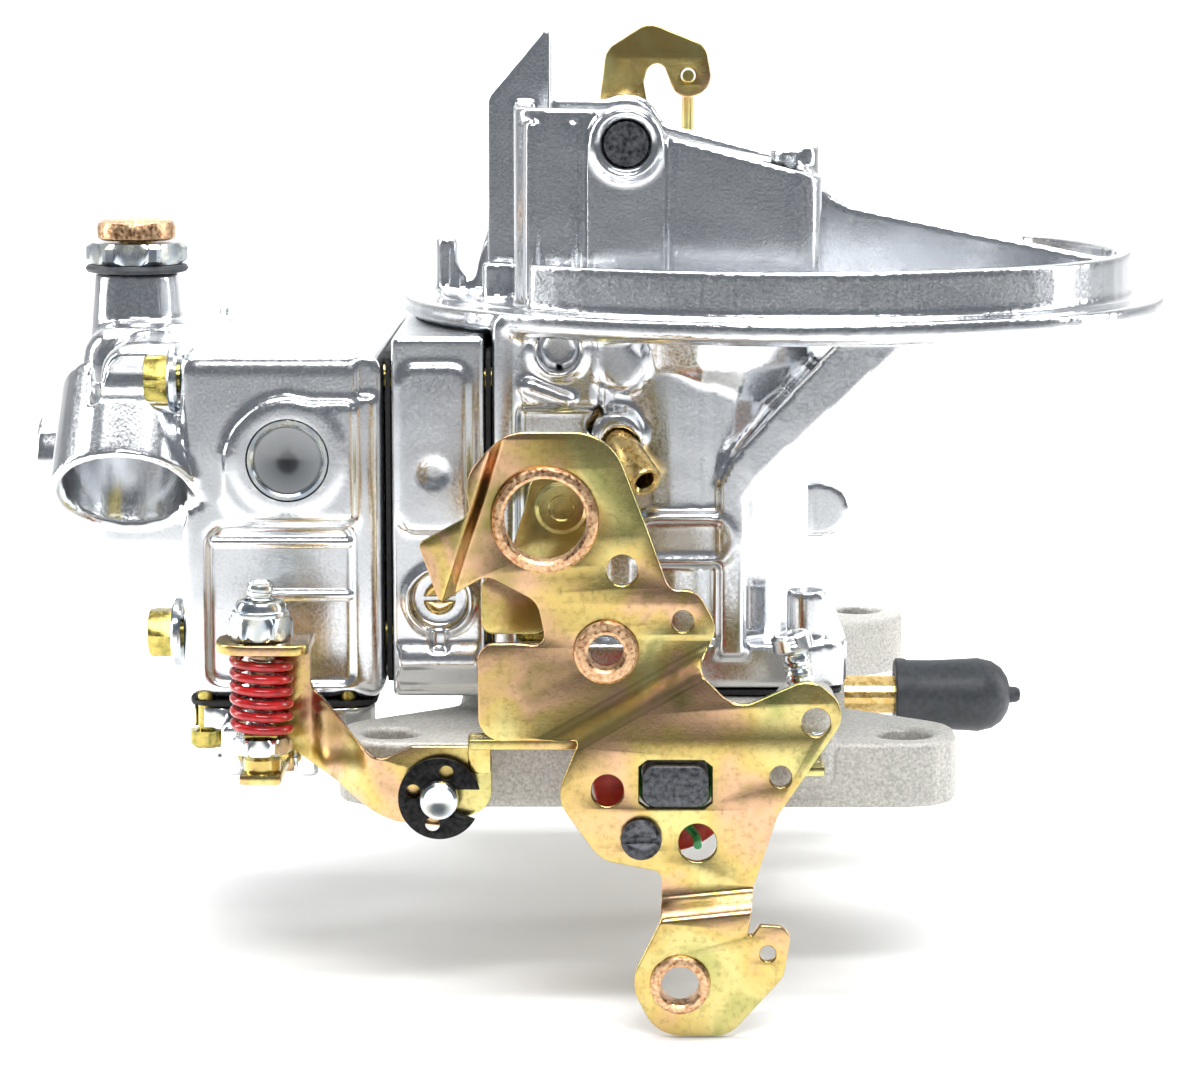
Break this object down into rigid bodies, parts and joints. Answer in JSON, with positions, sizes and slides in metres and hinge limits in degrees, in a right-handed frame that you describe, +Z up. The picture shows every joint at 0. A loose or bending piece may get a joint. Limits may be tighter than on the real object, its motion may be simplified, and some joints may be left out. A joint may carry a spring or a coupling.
{
  "type": "two-barrel carburetor",
  "caption": "Two-barrel downdraft carburetor with side fuel bowl, choke tower in an air cleaner seat, throttle lever, accelerator pump linkage and stud flange.",
  "frame": {"origin": "on the mounting face, at the middle of the stud hole pattern", "axes": "+Z up out of the manifold, -X towards the fuel bowl, -Y towards the throttle lever"},
  "size_m": [0.2117, 0.1762, 0.1664],
  "materials": {
    "bright_casting": "tumbled bright die casting",
    "sand_casting": "matt fine-grained casting",
    "gold_zinc": "gold iridescent zinc plating on steel",
    "copper_finish": "coppery plating",
    "bright_zinc": "clear zinc plating",
    "brass": "machined",
    "dark_steel": "dull",
    "black_oxide": "black oxide",
    "gasket": "matt",
    "rubber": "matt",
    "red_paint": "gloss red over steel wire",
    "red_nylon": "satin",
    "green_wire": "satin green over steel wire",
    "float_foam": "closed-cell foam"
  },
  "bodies": {
    "carburetor": {"base_gasket": "gasket", "booster_1": "bright_zinc", "booster_2": "bright_zinc", "bowl_gasket": "gasket", "bowl_screw_1": "gold_zinc", "bowl_screw_2": "gold_zinc", "bowl_screw_3": "gold_zinc", "bowl_screw_4": "gold_zinc", "choke_pivot_screw": "bright_zinc", "discharge_nozzle": "bright_zinc", "float_pin": "dark_steel", "fuel_bowl": "bright_casting", "kickdown_pivot_screw": "gold_zinc", "main_body": "bright_casting", "metering_block": "bright_casting", "metering_gasket": "gasket", "needle_lock_screw": "copper_finish", "needle_seat": "brass", "needle_seat_nut": "bright_zinc", "pump_arm_pin": "bright_zinc", "pump_cover": "bright_casting", "pump_cover_screw_1": "brass", "pump_cover_screw_2": "brass", "pump_cover_screw_3": "brass", "pump_cover_screw_4": "brass", "pump_diaphragm": "gasket", "pump_lever_clip": "black_oxide", "pump_lever_pin": "bright_zinc", "sight_plug": "dark_steel", "throttle_body": "sand_casting", "vacuum_cap": "rubber", "vacuum_tube": "brass", "vent_nipple": "brass"},
    "throttle": {"throttle_shaft": "dark_steel", "throttle_plate_1": "brass", "throttle_plate_2": "brass", "throttle_lever": "gold_zinc", "cable_bushing": "copper_finish", "kickdown_bushing": "copper_finish", "lower_bushing": "copper_finish", "pump_cam": "red_nylon", "pump_cam_screw": "dark_steel", "return_spring": "green_wire"},
    "pump_lever": {"pump_lever": "gold_zinc", "pump_bolt": "bright_zinc", "pump_nut": "bright_zinc", "pump_spring": "red_paint"},
    "pump_arm": {"pump_arm": "gold_zinc"},
    "pump_plunger": {"pump_plunger": "bright_zinc"},
    "choke": {"choke_shaft": "dark_steel", "choke_plate": "bright_zinc", "choke_lever": "gold_zinc"},
    "choke_link": {"choke_link": "gold_zinc"},
    "choke_control": {"choke_control_lever": "gold_zinc"},
    "float": {"float": "float_foam"},
    "needle": {"inlet_needle": "brass"},
    "idle_mixture_1": {"idle_mixture_screw_1": "brass"},
    "idle_mixture_2": {"idle_mixture_screw_2": "brass"},
    "idle_speed": {"idle_speed_screw": "bright_zinc"},
    "kickdown": {"kickdown_lever": "gold_zinc"}
  },
  "joints": [
    {"name": "throttle_turn", "type": "hinge", "parent": "carburetor", "child": "throttle", "pos_m": [0.0045, 0, 0.0084], "axis": [0, 1, 0], "range_deg": [0, 75], "stiffness_Nm_per_rad": 0.03, "springref_deg": -34.38, "deforming": ["return_spring"]},
    {"name": "pump_lever_swing", "type": "hinge", "parent": "carburetor", "child": "pump_lever", "pos_m": [-0.0353, -0.084, 0.004], "axis": [0, 1, 0], "range_deg": [-7, 0]},
    {"name": "pump_arm_swing", "type": "hinge", "parent": "carburetor", "child": "pump_arm", "pos_m": [-0.0664, -0.057, 0.0054], "axis": [1, 0, 0], "range_deg": [0, 16]},
    {"name": "pump_plunger_slide", "type": "slide", "parent": "carburetor", "child": "pump_plunger", "axis": [0, 0, 1], "range_m": [0, 0.0047], "deforming": ["pump_diaphragm"]},
    {"name": "choke_turn", "type": "hinge", "parent": "carburetor", "child": "choke", "pos_m": [-0.0038, 0, 0.1124], "axis": [0, 1, 0], "range_deg": [0, 75]},
    {"name": "choke_link_turn", "type": "hinge", "parent": "choke", "child": "choke_link", "pos_m": [0.0086, 0.047, 0.1228], "axis": [0, 1, 0], "range_deg": [-75, 0]},
    {"name": "choke_control_turn", "type": "hinge", "parent": "carburetor", "child": "choke_control", "pos_m": [-0.0038, 0.051, 0.045], "axis": [0, 1, 0], "range_deg": [0, 75]},
    {"name": "float_swing", "type": "hinge", "parent": "carburetor", "child": "float", "pos_m": [-0.1012, 0, 0.052], "axis": [0, 1, 0], "range_deg": [0, 14]},
    {"name": "needle_slide", "type": "slide", "parent": "carburetor", "child": "needle", "axis": [0, 0, -1], "range_m": [0, 0.0014]},
    {"name": "idle_mixture_1_turn", "type": "hinge", "parent": "carburetor", "child": "idle_mixture_1", "pos_m": [-0.037, -0.048, 0.032], "axis": [0, 1, 0], "range_deg": [-540, 720]},
    {"name": "idle_mixture_2_turn", "type": "hinge", "parent": "carburetor", "child": "idle_mixture_2", "pos_m": [-0.037, 0.048, 0.032], "axis": [0, 1, 0], "range_deg": [-720, 540]},
    {"name": "idle_speed_turn", "type": "hinge", "parent": "carburetor", "child": "idle_speed", "pos_m": [0.0246, -0.081, 0.029], "axis": [0.2231, 0, -0.9748], "range_deg": [-360, 720]},
    {"name": "kickdown_swing", "type": "hinge", "parent": "carburetor", "child": "kickdown", "pos_m": [-0.015, -0.061, 0.0505], "axis": [0, 1, 0], "range_deg": [-4, 22]}
  ],
  "couplings": [
    {"joint": "pump_lever_swing", "follows": "throttle_turn", "ratio": -0.09},
    {"joint": "pump_arm_swing", "follows": "throttle_turn", "ratio": 0.2},
    {"joint": "pump_plunger_slide", "follows": "throttle_turn", "m_per_rad": 0.0034},
    {"joint": "choke_link_turn", "follows": "choke_turn", "ratio": -1},
    {"joint": "choke_control_turn", "follows": "choke_turn", "ratio": 1},
    {"joint": "needle_slide", "follows": "float_swing", "m_per_rad": 0.0052}
  ]
}
